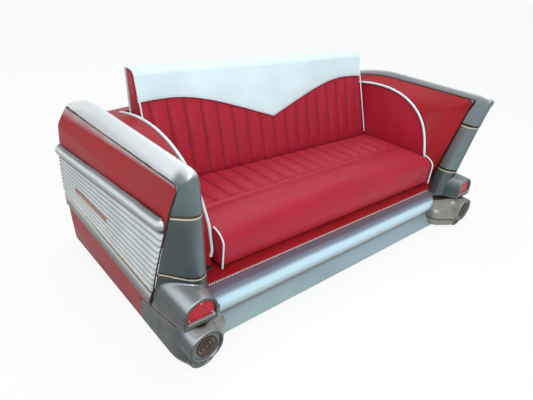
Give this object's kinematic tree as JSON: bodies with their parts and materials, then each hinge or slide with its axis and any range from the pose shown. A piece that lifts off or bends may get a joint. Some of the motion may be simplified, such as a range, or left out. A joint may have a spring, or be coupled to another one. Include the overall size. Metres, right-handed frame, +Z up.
{
  "type": "car tail sofa",
  "caption": "Bar sofa in the shape of a finned car's tail: red body, silver fins, hooded lamps and bumper, with a pleated red seat and a backrest that has a white top panel.",
  "frame": {"origin": "middle of the footprint, on the floor", "axes": "+Z up, the sitter faces -Y, where the bumper and lamps are, +X to the right seen from the front"},
  "size_m": [1.923, 1.01, 0.82],
  "materials": {
    "red_paint": "gloss paint on moulded fibreglass",
    "silver_paint": "antiqued silver paint on moulded fibreglass",
    "rib_paint": "pale blue-grey metallic paint",
    "cream_paint": "satin paint",
    "copper_paint": "satin metallic paint",
    "red_lens": "gloss",
    "port_dark": "matt with tan dry-brushed edges",
    "screw_steel": "plain",
    "red_vinyl": "grained vinyl over foam",
    "white_vinyl": "grained vinyl",
    "painted_board": "red paint on board",
    "plywood": "bare plywood",
    "timber": "bare softwood",
    "glide_plastic": "matt"
  },
  "bodies": {
    "sofa_body": {"arm_pad_left": "red_vinyl", "arm_pad_right": "red_vinyl", "arm_piping_left": "white_vinyl", "arm_piping_right": "white_vinyl", "back_board": "plywood", "back_uprights": "timber", "backrest_cushion": "red_vinyl", "backrest_piping": "white_vinyl", "backrest_rear_cover": "white_vinyl", "backrest_yoke": "white_vinyl", "base_cross_rails": "timber", "base_long_rails": "timber", "bumper_bar": "silver_paint", "bumper_end_left": "silver_paint", "bumper_end_right": "silver_paint", "cream_line_left": "cream_paint", "cream_line_right": "cream_paint", "deck_trim": "silver_paint", "fin_bezel_left": "silver_paint", "fin_bezel_right": "silver_paint", "fin_inner_panel_left": "red_paint", "fin_inner_panel_right": "red_paint", "fin_strip_left": "silver_paint", "fin_strip_right": "silver_paint", "fin_tip_left": "silver_paint", "fin_tip_right": "silver_paint", "front_deck": "red_paint", "glides": "glide_plastic", "lamp_housing_left": "silver_paint", "lamp_housing_right": "silver_paint", "lamp_lens_left": "red_lens", "lamp_lens_right": "red_lens", "lens_screws_left": "screw_steel", "lens_screws_right": "screw_steel", "lower_moulding_left": "silver_paint", "lower_moulding_right": "silver_paint", "lower_port_insert_left": "port_dark", "lower_port_insert_right": "port_dark", "port_insert_left": "port_dark", "port_insert_right": "port_dark", "quarter_panel_left": "red_paint", "quarter_panel_right": "red_paint", "rear_panel": "painted_board", "rear_panel_screws": "screw_steel", "rear_shelf": "red_paint", "ribbed_panel_left": "rib_paint", "ribbed_panel_right": "rib_paint", "seat_platform": "plywood", "seat_posts": "timber", "seat_rails": "timber", "trim_bar_left": "copper_paint", "trim_bar_right": "copper_paint", "upper_moulding_left": "silver_paint", "upper_moulding_right": "silver_paint", "valance": "silver_paint"},
    "seat_unit": {"seat_cushion": "red_vinyl", "seat_board": "plywood", "seat_piping": "white_vinyl"}
  },
  "joints": [
    {"name": "seat_lift", "type": "slide", "parent": "sofa_body", "child": "seat_unit", "axis": [0, 0, 1], "range_m": [0, 0.25]}
  ]
}
